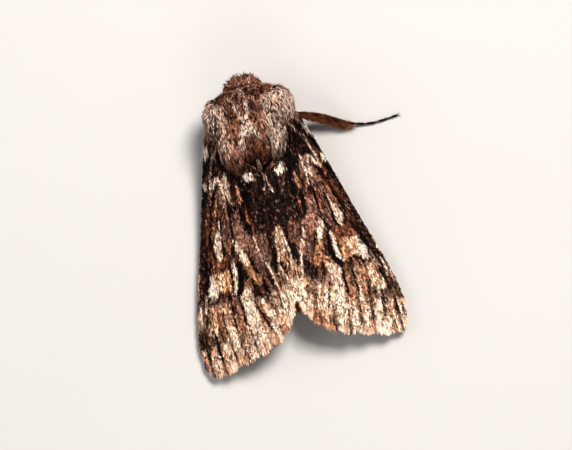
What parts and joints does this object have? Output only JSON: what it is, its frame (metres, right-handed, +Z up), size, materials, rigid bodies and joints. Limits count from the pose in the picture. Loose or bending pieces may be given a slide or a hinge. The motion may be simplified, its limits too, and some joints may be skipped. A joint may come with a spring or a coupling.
{
  "type": "owlet moth",
  "caption": "Life-size owlet moth at rest, its streaked brown and grey forewings folded like a low roof over a woolly thorax and abdomen, one middle leg stretched out to the side.",
  "frame": {"origin": "middle of the footprint, at the level that the feet stand on", "axes": "+Y towards the head along the body, +Z up, +X to the moth's right"},
  "size_m": [0.021, 0.024, 0.0074],
  "materials": {
    "wing": "matte overlapping scales, streaked dark brown, tan and grey-white",
    "hindwing": "matte pale grey-brown scales",
    "fur": "long pinkish-grey hair with pale tips over rusty brown",
    "dark_fur": "dark reddish-brown hair",
    "eye": "glossy dark facets",
    "feeler": "reddish-brown shaft with fine branches",
    "leg": "reddish-brown hair and scales, feet ringed with buff"
  },
  "bodies": {
    "root": {"abdomen": "fur", "antenna_left": "feeler", "antenna_right": "feeler", "collar": "dark_fur", "eye_left": "eye", "eye_right": "eye", "foreleg_left_femur": "leg", "foreleg_left_tarsus": "leg", "foreleg_left_tibia": "leg", "foreleg_right_femur": "leg", "foreleg_right_tarsus": "leg", "foreleg_right_tibia": "leg", "forewing_left": "wing", "forewing_right": "wing", "head": "dark_fur", "hindleg_left_femur": "leg", "hindleg_left_tarsus": "leg", "hindleg_left_tibia": "leg", "hindleg_right_femur": "leg", "hindleg_right_tarsus": "leg", "hindleg_right_tibia": "leg", "hindwing_left": "hindwing", "hindwing_right": "hindwing", "midleg_left_femur": "leg", "midleg_left_tarsus": "leg", "midleg_left_tibia": "leg", "midleg_right_femur": "leg", "midleg_right_tarsus": "leg", "midleg_right_tibia": "leg", "palp_left": "dark_fur", "palp_right": "dark_fur", "tail_tuft": "dark_fur", "tegula_left": "fur", "tegula_right": "fur", "thorax": "fur", "thorax_crest": "dark_fur"}
  },
  "joints": []
}
